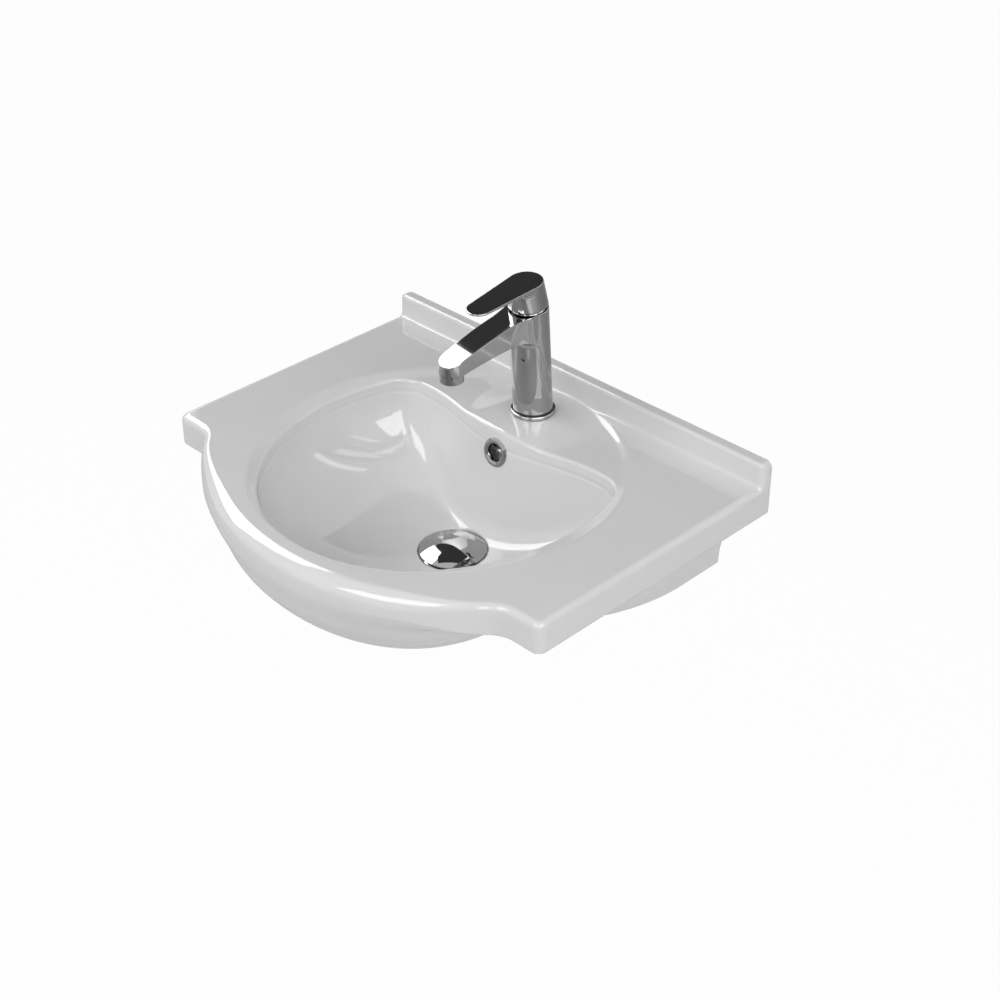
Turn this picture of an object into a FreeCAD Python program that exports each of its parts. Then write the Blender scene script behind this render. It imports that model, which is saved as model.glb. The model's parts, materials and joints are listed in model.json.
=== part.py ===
import FreeCAD, Part
import math
import os
import Sketcher

# Wash basin with a raised back edge, an oval bowl, a pop-up waste and a single-lever mixer tap.
# Millimetres. The origin is the middle of the wall face, level with the top of the slab.
# X runs along the wall, the user stands at -Y, and +Z is up.

# Driving dimensions, kept in the document's sheet
SIZES = {
    # ceramic slab and its back upstand
    "slab_width": 500.0,
    "slab_depth": 314.2,
    "slab_thick": 33.0,
    "slab_round": 7.0,
    "corner_round": 10.0,
    "front_flat": 31.3,
    "bow_reach": 406.3,
    "bow_cove": 30.0,
    "upstand_height": 25.0,
    "upstand_thick": 12.7,
    "upstand_foot": 13.2,
    "upstand_cove": 3.5,
    "upstand_round": 4.0,
    # bowl, its rim and the wavy wall under the tap
    "bowl_back": 185.0,
    "bowl_half_width": 166.0,
    "bowl_half_length": 188.0,
    "bowl_depth": 108.0,
    "rim_drop": 4.0,
    "dish_width": 20.0,
    "dish_front": 7.0,
    "dish_back": 13.0,
    "recess_back": 165.0,
    "wall_back": 102.1,
    "wave_swing": 9.0,
    "wave_half": 115.0,
    "wall_slope": 12.0,
    "crease_round": 12.0,
    "ceramic_wall": 12.0,
    # raised platform that carries the tap
    "platform_rise": 3.6,
    "platform_flat": 26.0,
    "platform_foot": 86.0,
    "platform_sink": 2.4,
    "deck_under": 16.0,
    # under-body
    "belly_back": 264.7,
    "belly_half": 181.5,
    "belly_inset": 0.3,
    "belly_lift": 2.0,
    "belly_depth": 108.0,
    "belly_fullness": 1.67,
    "skirt_bottom": 117.0,
    "skirt_half": 202.7,
    "skirt_draft": 6.4,
    "skirt_side_top": 225.0,
    "skirt_side_bottom": 54.3,
    "skirt_front_top": 389.0,
    "skirt_front_bottom": 253.3,
    "hollow_front": 330.0,
    "fixing_hole": 7.0,
    "fixing_spacing": 280.0,
    "fixing_drop": 75.0,
    # waste hole and overflow channel
    "waste_back": 176.0,
    "waste_hole": 23.0,
    "waste_recess": 35.0,
    "recess_depth": 3.0,
    "waste_boss": 36.0,
    "boss_height": 27.0,
    "overflow_drop": 22.6,
    "overflow_hole": 12.0,
    "overflow_face": 15.0,
    "overflow_sink": 0.8,
    "duct_back": 101.0,
    "duct_half": 9.0,
    "duct_deep": 8.0,
    "duct_wall": 6.0,
    # tap hole
    "tap_back": 63.2,
    "tap_hole": 17.5,
    # overflow ring
    "ring_thick": 2.0,
    "ring_bore": 9.5,
    "ring_sleeve": 10.0,
    "ring_bar": 2.4,
    # clearances, and how far a cutting block runs past the faces it cuts
    "fit_gap": 0.1,
    "seal_gap": 0.2,
    "running_gap": 0.2,
    "pin_fit": 0.05,
    "cut_over": 1.0,
    # waste: flange, tail, bridge and nut
    "gasket_thick": 1.0,
    "gasket_outer": 31.0,
    "flange_radius": 33.0,
    "flange_thick": 2.2,
    "flange_lip": 0.8,
    "flange_slope": 2.0,
    "flange_throat": 21.0,
    "spigot_radius": 19.25,
    "spigot_bore": 17.2,
    "spigot_depth": 6.0,
    "tail_radius": 20.95,
    "tail_bore": 17.5,
    "tail_length": 80.0,
    "relief_width": 2.0,
    "relief_depth": 0.8,
    "bridge_thick": 4.0,
    "bridge_bore": 15.5,
    "bridge_rib": 4.0,
    "hub_radius": 8.0,
    "hub_depth": 8.0,
    "slot_top": 13.0,
    "slot_height": 8.0,
    "slot_width": 12.0,
    "lower_gasket_outer": 33.0,
    "lower_gasket_thick": 4.0,
    "slip_washer_outer": 32.0,
    "slip_washer_thick": 1.5,
    "back_nut_across": 52.0,
    "back_nut_height": 9.0,
    # waste: click cartridge, stem and cap
    "click_radius": 5.0,
    "click_collar": 7.5,
    "click_collar_thick": 3.0,
    "click_length": 20.0,
    "click_floor": 2.0,
    "stem_radius": 3.1,
    "spring_length": 10.0,
    "spring_outer": 2.9,
    "spring_inner": 1.9,
    "cap_radius": 34.0,
    "cap_gap": 2.0,
    "cap_edge": 1.0,
    "cap_rise": 7.5,
    "cap_seal_inner": 14.0,
    "cap_seal_outer": 24.0,
    # tap: base, column and spout
    "base_gasket_thick": 0.8,
    "base_gasket_radius": 22.0,
    "base_ring_radius": 22.85,
    "base_ring_height": 3.2,
    "base_ring_round": 1.2,
    "base_seal_radius": 19.4,
    "base_seal_height": 1.2,
    "tap_lean": 4.0,
    "tap_radius": 20.0,
    "tap_datum": 3.4,
    "tap_top": 115.5,
    "spout_root": 18.9,
    "spout_half": 14.2,
    "spout_tip_round": 13.0,
    "spout_reach": 122.8,
    "spout_mid": 76.8,
    "spout_flare": 47.0,
    "spout_drop_mid": 8.6,
    "spout_drop_tip": 20.9,
    "spout_deep_root": 27.0,
    "spout_deep_mid": 20.0,
    "spout_deep_tip": 13.5,
    "inlet_radius": 4.5,
    "inlet_depth": 14.0,
    "inlet_spread": 9.5,
    "inlet_forward": 3.0,
    "waterway_radius": 3.2,
    "outlet_radius": 4.0,
    "outlet_drop": 17.5,
    "stud_radius": 4.0,
    "stud_offset": 9.5,
    "stud_engaged": 14.0,
    "stud_length": 68.0,
    "plug_radius": 1.5,
    "plug_height": 66.7,
    "plug_turn": 22.5,
    "plug_depth": 4.0,
    "plug_sink": 0.5,
    # tap: nozzle
    "nozzle_reach": 110.8,
    "nozzle_radius": 11.75,
    "nozzle_neck": 10.9,
    "nozzle_bottom": 75.5,
    "nozzle_collar": 8.5,
    "nozzle_sink": 6.0,
    "nozzle_bore": 9.6,
    "nozzle_lip": 8.6,
    "nozzle_lip_thick": 1.2,
    "insert_height": 9.0,
    "nozzle_washer_thick": 1.6,
    # tap: ceramic cartridge, measured along the leaning axis
    "cartridge_radius": 17.4,
    "cartridge_bottom": 76.0,
    "cartridge_base_thick": 4.0,
    "cartridge_shoulder": 104.0,
    "cartridge_wall": 1.8,
    "shoulder_thick": 2.0,
    "neck_radius": 12.4,
    "neck_wall": 0.8,
    "neck_top": 114.0,
    "disc_radius": 12.5,
    "disc_thick": 4.0,
    "slide_radius": 9.0,
    "holder_thick": 7.0,
    "holder_socket": 4.0,
    "carrier_foot": 0.4,
    "carrier_flange": 15.2,
    "carrier_flange_thick": 4.6,
    "carrier_top": 113.6,
    "carrier_slot": 20.0,
    "pivot_height": 106.0,
    "pin_radius": 2.0,
    "pin_half": 11.0,
    "stem_side": 8.0,
    "stem_top": 132.0,
    "stem_tip_radius": 3.0,
    "stem_tip_top": 98.0,
    "stem_tip_bottom": 93.0,
    "cartridge_nut_thick": 6.0,
    "cover_rim": 4.5,
    "cover_shoulder": 6.2,
    "cover_crown": 7.2,
    "cover_slope": 1.4,
    # tap: lever handle
    "handle_gap": 2.7,
    "handle_radius": 19.75,
    "handle_top": 144.9,
    "handle_top_radius": 17.6,
    "handle_forward": 2.4,
    "handle_bore": 15.0,
    "handle_roof": 134.0,
    "handle_lip": 0.7,
    "handle_boss": 8.0,
    "handle_boss_bottom": 124.0,
    "handle_tilt": 1.8,
    "handle_relief": 25.0,
    "lever_reach": 76.8,
    "lever_tip_round": 12.6,
    "lever_tip_thick": 2.0,
    "lever_root_thick": 3.4,
    "grub_radius": 2.5,
    "grub_length": 9.0,
    "grub_height": 130.0,
    "index_depth": 1.8,
    "index_sink": 0.3,
    # tap: fixings under the deck
    "horseshoe_radius": 23.5,
    "horseshoe_slot": 14.5,
    "horseshoe_back": 3.0,
    "horseshoe_gasket_thick": 2.5,
    "horseshoe_washer_thick": 2.5,
    "fixing_nut_across": 13.0,
    "fixing_nut_height": 10.0,
}

doc = FreeCAD.newDocument("WashBasin")
sheet = doc.addObject("Spreadsheet::Sheet", "Dims")
for row, (alias, number) in enumerate(SIZES.items(), start=1):
    sheet.set("A%d" % row, alias)
    sheet.set("B%d" % row, str(number))
    sheet.setAlias("B%d" % row, alias)
doc.recompute()


def size(name):
    return float(sheet.get(name))


def point(x, y, z=0.0):
    return FreeCAD.Vector(x, y, z)


X_AXIS = point(1, 0, 0)
Y_AXIS = point(0, 1, 0)
Z_AXIS = point(0, 0, 1)
STILL = FreeCAD.Placement()


def arc(start, middle, end):
    return Part.Arc(start, middle, end).toShape()


def line(start, end):
    return Part.LineSegment(start, end).toShape()


def ellipse_wire(half_x, half_y, centre_y, z):
    """A level oval whose long axis lies along X or Y."""
    centre = point(0, centre_y, z)
    if half_x >= half_y:
        oval = Part.Ellipse(point(half_x, centre_y, z), point(0, centre_y + half_y, z), centre)
    else:
        oval = Part.Ellipse(point(0, centre_y + half_y, z), point(-half_x, centre_y, z), centre)
    return Part.Wire([oval.toShape()])


def slab_outline():
    """Half a rectangle against the wall, with a bow that leaves its front through two coves."""
    half = size("slab_width") / 2
    front = -size("slab_depth")
    corner = size("corner_round")
    cove = size("bow_cove")
    cove_x = half - size("front_flat")
    cove_y = front - cove
    ahead = size("bow_reach") + cove_y
    bow = (ahead**2 + cove_x**2 - cove**2) / (2 * (ahead + cove))
    bow_y = bow - size("bow_reach")
    share = bow / (bow + cove)
    join = point(cove_x * share, bow_y + (cove_y - bow_y) * share)
    slant = corner * math.sqrt(0.5)
    lean = math.atan2(join.y - cove_y, join.x - cove_x)
    turn = (lean + math.pi / 2) / 2
    middle = point(cove_x + cove * math.cos(turn), cove_y + cove * math.sin(turn))

    def mirrored(p):
        return point(-p.x, p.y)

    side = point(half, front + corner)
    bend = point(half - corner + slant, front + corner - slant)
    face = point(half - corner, front)
    start = point(cove_x, front)
    back = point(half, 0)
    edges = [
        line(mirrored(back), back),
        line(back, side),
        arc(side, bend, face),
        line(face, start),
        arc(start, middle, join),
        arc(join, point(0, -size("bow_reach")), mirrored(join)),
        arc(mirrored(join), mirrored(middle), mirrored(start)),
        line(mirrored(start), mirrored(face)),
        arc(mirrored(face), mirrored(bend), mirrored(side)),
        line(mirrored(side), mirrored(back)),
    ]
    return Part.Wire(edges)


def slab_shape():
    thick = size("slab_thick")
    slab = Part.Face(slab_outline()).extrude(point(0, 0, -thick))
    top = []
    for edge in slab.Edges:
        box = edge.BoundBox
        if box.ZMin > -thick / 2 and box.YMin < -1e-3:
            top.append(edge)
    return slab.makeFillet(size("slab_round"), top)


def upstand_shape():
    """The ledge along the wall, with a cove down to the slab."""
    half = size("slab_width") / 2
    height = size("upstand_height")
    thick = size("upstand_thick")
    foot = size("upstand_foot")
    cove = size("upstand_cove")
    root = -size("slab_thick") / 2
    slant = cove * (1 - math.sqrt(0.5))
    outline = [
        line(point(-half, 0, root), point(-half, 0, height)),
        line(point(-half, 0, height), point(-half, -thick, height)),
        line(point(-half, -thick, height), point(-half, -foot, cove)),
        arc(point(-half, -foot, cove), point(-half, -foot - slant, slant), point(-half, -foot - cove, 0)),
        line(point(-half, -foot - cove, 0), point(-half, -foot - cove, root)),
        line(point(-half, -foot - cove, root), point(-half, 0, root)),
    ]
    ledge = Part.Face(Part.Wire(outline)).extrude(point(2 * half, 0, 0))
    crest = []
    for edge in ledge.Edges:
        box = edge.BoundBox
        if box.ZMin > height - 1e-3 and box.YMin < -1e-3:
            crest.append(edge)
    return ledge.makeFillet(size("upstand_round"), crest)


def platform_shape():
    """A soft mound round the tap's foot, level in the middle, that runs out into the recess."""
    rise = size("platform_rise")
    flat = size("platform_flat")
    foot = size("platform_foot")
    low = -size("rim_drop") - size("platform_sink")
    root = low - size("platform_sink")
    steps = [k / 6 for k in range(7)]
    crest = [point(flat + (foot - flat) * t, 0, rise + (low - rise) * t * t * (3 - 2 * t)) for t in steps]
    level = point(foot - flat, 0, 0)
    curve = Part.BSplineCurve()
    curve.interpolate(crest, InitialTangent=level, FinalTangent=level)
    outline = [
        line(point(0, 0, root), point(0, 0, rise)),
        line(point(0, 0, rise), crest[0]),
        curve.toShape(),
        line(crest[-1], point(foot, 0, root)),
        line(point(foot, 0, root), point(0, 0, root)),
    ]
    mound = Part.Face(Part.Wire(outline)).revolve(point(0, 0, 0), Z_AXIS, 360)
    mound.translate(point(0, -size("tap_back"), 0))
    return mound.common(beam(size("slab_width"), -2 * size("bow_reach"), 0, 2 * root, 2 * rise))


def wave_block(shift, bottom):
    """All that lies in front of the wavy wall, which slopes forward as it goes down."""
    half = size("slab_width")
    far = -2 * size("bow_reach")
    top = size("upstand_height")
    slope = math.tan(math.radians(size("wall_slope")))
    swing = size("wave_swing")
    wave = size("wave_half")
    wires = []
    for z in (top, bottom):
        base = shift - size("wall_back") + (z - size("platform_rise")) * slope
        steps = range(-4, 5)
        crest = [point(k * wave / 2, base - swing * math.cos(k * math.pi / 2), z) for k in steps]
        curve = Part.BSplineCurve()
        curve.interpolate(crest)
        left = crest[0]
        right = crest[-1]
        wall = [
            curve.toShape(),
            line(right, point(half, right.y, z)),
            line(point(half, right.y, z), point(half, far, z)),
            line(point(half, far, z), point(-half, far, z)),
            line(point(-half, far, z), point(-half, left.y, z)),
            line(point(-half, left.y, z), left),
        ]
        wires.append(Part.Wire(wall))
    return Part.makeLoft(wires, True, True)


def oval_bowl(grow, deeper):
    """Half an ellipsoid below the rim, with the rim's oval carried straight up above it."""
    half_x = size("bowl_half_width") + grow
    half_y = size("bowl_half_length") + grow
    depth = size("bowl_depth") + deeper
    centre_y = -size("bowl_back")
    rim = -size("rim_drop")
    scale = FreeCAD.Matrix()
    scale.scale(half_x, half_y, depth)
    ball = Part.makeSphere(1.0, point(0, 0, 0), point(0, 0, 1), -90, 0).transformGeometry(scale)
    ball.translate(point(0, centre_y, rim))
    collar = Part.Face(ellipse_wire(half_x, half_y, centre_y, rim))
    return ball.fuse(collar.extrude(point(0, 0, size("upstand_height")))).removeSplitter()


def dish_shape():
    """The soft slope from the slab down to the rim in front and to the recess behind."""
    middle = -size("bowl_back")
    ends = (
        (size("bowl_half_length"), size("dish_front"), -2 * size("bow_reach"), middle),
        (size("recess_back"), size("dish_back"), middle, 0),
    )
    halves = []
    for length, width, near, far in ends:
        wires = []
        for share in (-0.15, 0.0, 0.35, 0.7, 1.0):
            half_x = size("bowl_half_width") + size("dish_width") * (1 - share)
            half_y = length + width * (1 - share)
            drop = size("rim_drop") * share * abs(share) * (3 - 2 * share)
            wires.append(ellipse_wire(half_x, half_y, middle, -drop))
        side = beam(size("slab_width"), near, far, -size("slab_thick"), size("slab_thick"))
        halves.append(Part.makeLoft(wires, True).common(side))
    return halves[0].fuse(halves[1])


def under_share(z):
    """How far down the under-body a level lies: 0 at the slab and 1 at the bottom."""
    return (-z - size("slab_thick")) / (size("skirt_bottom") - size("slab_thick"))


def skirt_wire(z, inset):
    """A level section of the skirt: straight against the wall, round at the front."""
    share = under_share(z)
    front = size("skirt_front_top") + (size("skirt_front_bottom") - size("skirt_front_top")) * share - inset
    half = size("skirt_half") - size("skirt_draft") * share - inset
    side = size("skirt_side_top") + (size("skirt_side_bottom") - size("skirt_side_top")) * share
    turns = [k * math.pi / 12 for k in range(13)]
    bow = Part.BSplineCurve()
    bow.interpolate([point(half * math.cos(a), -side - (front - side) * math.sin(a), z) for a in turns])
    right = point(half, -inset, z)
    left = point(-half, -inset, z)
    return Part.Wire(
        [
            line(left, right),
            line(right, point(half, -side, z)),
            bow.toShape(),
            line(point(-half, -side, z), left),
        ]
    )


def belly_wire(z, inset):
    """A level section of the belly that bulges out in front of the skirt."""
    fall = max(0.0, -z - size("slab_thick") + size("belly_lift")) / size("belly_depth")
    full = size("belly_fullness")
    share = (1 - fall**full) ** (1 / full)
    half_x = size("belly_half") * share - inset
    half_y = (size("bow_reach") - size("belly_inset") - size("belly_back")) * share - inset
    return ellipse_wire(half_x, half_y, -size("belly_back"), z)


def under_body(inset, top, bottom):
    """The skirt and the belly together, drawn in from their outside by the inset."""
    steps = 4
    levels = [top + (bottom - top) * k / steps for k in range(steps + 1)]
    skirt = Part.makeLoft([skirt_wire(z, inset) for z in levels], True)
    belly = Part.makeLoft([belly_wire(z, inset) for z in levels], True)
    return skirt.fuse(belly)


def floor_level():
    return -size("rim_drop") - size("bowl_depth")


def waste_seat():
    """Level of the flat seat, sunk in the bowl's floor, that the waste stands on."""
    return floor_level() - size("recess_depth")


def overflow_place():
    """Where the overflow leaves the wall: its own Z points into the bowl, square to the wall."""
    drop = -size("overflow_drop")
    slope = math.radians(size("wall_slope"))
    y = -size("wall_back") - size("wave_swing") + (drop - size("platform_rise")) * math.tan(slope)
    tilt = FreeCAD.Rotation(X_AXIS, 90 - size("wall_slope"))
    return FreeCAD.Placement(point(0, y, drop), tilt)


def upright(radius, y, bottom, top):
    return Part.makeCylinder(radius, top - bottom, point(0, -y, bottom))


def beam(half, near, far, bottom, top):
    """A box across the middle plane, from near to far behind the front."""
    return Part.makeBox(2 * half, far - near, top - bottom, point(-half, near, bottom))


def bowl_cavity():
    cavity = oval_bowl(0, 0).common(wave_block(0, 2 * floor_level()))
    crease = []
    for edge in cavity.Edges:
        middle = edge.CenterOfMass
        behind = middle.y > -size("waste_back") + size("waste_hole")
        if behind and not edge.Degenerated and edge.BoundBox.ZMin < size("platform_rise"):
            if abs(middle.z + size("rim_drop")) > 1e-3:
                crease.append(edge)
    return cavity.makeFillet(size("crease_round"), crease)


def basin_shape():
    wall = size("ceramic_wall")
    bottom = -size("skirt_bottom")
    deck = -size("deck_under")
    seat = waste_seat()
    boss_bottom = seat - size("boss_height")
    waste = size("waste_back")
    duct = -size("duct_back")
    deep = size("duct_deep") / 2
    edge = size("duct_wall")
    half = size("duct_half")

    shell = slab_shape().cut(dish_shape())
    shell = shell.fuse([upstand_shape(), platform_shape(), under_body(0, -size("slab_thick"), bottom)])
    under = beam(size("slab_width"), -2 * size("bow_reach"), 0, 2 * boss_bottom, deck)
    outer = oval_bowl(wall, wall).common(wave_block(wall, 2 * boss_bottom)).common(under)
    boss = upright(size("waste_boss"), waste, boss_bottom, floor_level())
    channel = beam(half + edge, duct - deep - edge, duct + deep + edge, boss_bottom, deck)
    sill = beam(half + edge, -waste, duct + deep + edge, boss_bottom, floor_level())
    inner = outer.fuse([boss, channel, sill])

    hollow = under_body(wall, deck, bottom - size("cut_over"))
    front = beam(size("slab_width"), -2 * size("bow_reach"), -size("hollow_front"), 2 * bottom, 0)
    hollow = hollow.cut(front).cut(inner)
    shell = shell.cut(hollow).fuse(inner)

    place = overflow_place()
    spout = Part.makeCylinder(size("overflow_hole"), place.Base.y * -1 - size("duct_back") + deep)
    spout.Placement = aimed(place, 0, 0, 0, X_AXIS, 180)
    face = Part.makeCylinder(size("overflow_face"), 3 * size("overflow_sink"))
    face.Placement = shifted(place, 0, 0, -size("overflow_sink"))
    floor = boss_bottom + edge
    well = beam(half, duct - deep, duct + deep, floor, -size("overflow_drop") + size("overflow_hole") / 2)
    drain = beam(half, -waste, duct + deep, floor, floor + 2 * deep)
    tools = [
        bowl_cavity(),
        upright(size("waste_recess"), waste, seat, 0),
        upright(size("waste_hole"), waste, 2 * boss_bottom, 0),
        upright(size("tap_hole"), size("tap_back"), 2 * deck, size("upstand_height")),
        spout,
        face,
        well,
        drain,
    ]
    for side in (-1, 1):
        at = point(side * size("fixing_spacing") / 2, 0, -size("fixing_drop"))
        tools.append(Part.makeCylinder(size("fixing_hole"), 2 * wall, at, point(0, -1, 0)))
    for tool in tools:
        shell = shell.cut(tool)
    return shell.removeSplitter().Solids[0]


def signed(terms):
    """Splits a sum such as "a + b - c" into (sign, term) pairs."""
    sign = 1
    for word in terms.split():
        if word in "+-":
            sign = 1 if word == "+" else -1
        else:
            yield sign, word


def total(terms):
    """The value of a sum of sizes."""
    return sum(sign * (size(word) if word in SIZES else float(word)) for sign, word in signed(terms))


def bound(terms):
    """The same sum as an expression on the sheet."""
    words = ["Dims." + word if word in SIZES else word for word in terms.split()]
    return " ".join(words)


def plane_of(body, role):
    return [plane for plane in body.Origin.OriginFeatures if plane.Role == role][0]


def new_sketch(body, role):
    sketch = body.newObject("Sketcher::SketchObject", "Sketch")
    sketch.AttachmentSupport = [(plane_of(body, role), "")]
    sketch.MapMode = "FlatFace"
    return sketch


def bind(sketch, kind, *where, terms):
    """A dimension of the sketch, tied to the sheet."""
    index = sketch.addConstraint(Sketcher.Constraint(kind, *where, total(terms)))
    sketch.setExpression("Constraints[%d]" % index, bound(terms))


def draw_profile(sketch, profile):
    """A closed outline, listed anticlockwise. A third term makes the next stretch a round that bulges out."""
    corners = [point(total(corner[0]), total(corner[1])) for corner in profile]
    count = len(corners)
    for index, corner in enumerate(profile):
        start = corners[index]
        end = corners[(index + 1) % count]
        if len(corner) == 2:
            sketch.addGeometry(Part.LineSegment(start, end), False)
            continue
        radius = total(corner[2])
        chord = end - start
        inward = point(-chord.y, chord.x).normalize()
        rise = math.sqrt(radius**2 - (chord.Length / 2) ** 2)
        centre = (start + end) * 0.5 + inward * rise
        first = math.atan2(start.y - centre.y, start.x - centre.x)
        last = math.atan2(end.y - centre.y, end.x - centre.x)
        circle = Part.Circle(centre, point(0, 0, 1), radius)
        sketch.addGeometry(Part.ArcOfCircle(circle, first, last), False)
        bind(sketch, "Radius", index, terms=corner[2])
    for index in range(count):
        sketch.addConstraint(Sketcher.Constraint("Coincident", index, 2, (index + 1) % count, 1))
    for index, corner in enumerate(profile):
        bind(sketch, "DistanceX", -1, 1, index, 1, terms=corner[0])
        bind(sketch, "DistanceY", -1, 1, index, 1, terms=corner[1])


def turned(label, profile, place):
    """A piece turned about its own Z from (radius, height) corners."""
    body = doc.addObject("PartDesign::Body", label)
    body.Label = label
    sketch = new_sketch(body, "XZ_Plane")
    draw_profile(sketch, profile)
    turn = body.newObject("PartDesign::Revolution", "Turn")
    turn.Profile = sketch
    turn.ReferenceAxis = (sketch, ["V_Axis"])
    turn.Angle = 360
    body.Placement = place
    return body


def ring(label, inner, outer, bottom, top, place):
    return turned(label, [(inner, bottom), (outer, bottom), (outer, top), (inner, top)], place)


def disc(label, outer, bottom, top, place):
    return ring(label, "0", outer, bottom, top, place)


def primitive(kind, name, place, **sizes):
    """A Part primitive with its sizes tied to the sheet."""
    solid = doc.addObject(kind, name)
    for prop, terms in sizes.items():
        solid.setExpression(prop, bound(terms))
    solid.Placement = place
    return solid


def cut(label, base, tools):
    """The base with every tool taken away."""
    for index, tool in enumerate(tools):
        taken = doc.addObject("Part::Cut", label + "_cut%d" % index)
        taken.Base = base
        taken.Tool = tool
        base = taken
    base.Label = label
    return base


def fuse(label, pieces):
    joined = doc.addObject("Part::MultiFuse", label)
    joined.Shapes = pieces
    joined.Label = label
    return joined


def hex_nut(label, across, bore, height, place):
    block = doc.addObject("Part::Prism", label + "_block")
    block.Polygon = 6
    block.setExpression("Circumradius", "(" + bound(across) + ") / sqrt(3)")
    block.setExpression("Height", bound(height))
    block.Placement = place
    hole = primitive("Part::Cylinder", label + "_hole", place, Radius=bore, Height=height)
    return cut(label, block, [hole])


def solid_piece(label, shape, place):
    piece = doc.addObject("Part::Feature", label)
    piece.Label = label
    piece.Shape = shape
    piece.Placement = place
    return piece


def shifted(place, x, y, z):
    return place.multiply(FreeCAD.Placement(point(x, y, z), FreeCAD.Rotation()))


def aimed(place, x, y, z, axis, degrees):
    return place.multiply(FreeCAD.Placement(point(x, y, z), FreeCAD.Rotation(axis, degrees)))


def overflow_pieces():
    place = shifted(overflow_place(), 0, 0, -size("overflow_sink"))
    sleeve = "overflow_hole - fit_gap"
    rim = turned(
        "overflow_rim",
        [
            ("ring_bore", "0 - ring_sleeve"),
            (sleeve, "0 - ring_sleeve"),
            (sleeve, "0"),
            ("overflow_face - fit_gap", "0"),
            ("overflow_face - fit_gap", "ring_thick - overflow_sink"),
            ("overflow_hole", "ring_thick"),
            ("ring_bore", "ring_thick - overflow_sink"),
        ],
        place,
    )
    pieces = [rim]
    for turn in (0, 90):
        bar = aimed(place, 0, 0, -size("ring_sleeve"), Z_AXIS, turn)
        bar = shifted(bar, -size("ring_bore") - size("fit_gap"), -size("ring_bar") / 2, 0)
        box = primitive(
            "Part::Box",
            "overflow_bar",
            bar,
            Length="ring_bore + ring_bore + fit_gap + fit_gap",
            Width="ring_bar",
            Height="ring_bar",
        )
        pieces.append(box)
    fuse("overflow_ring", pieces)


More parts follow.
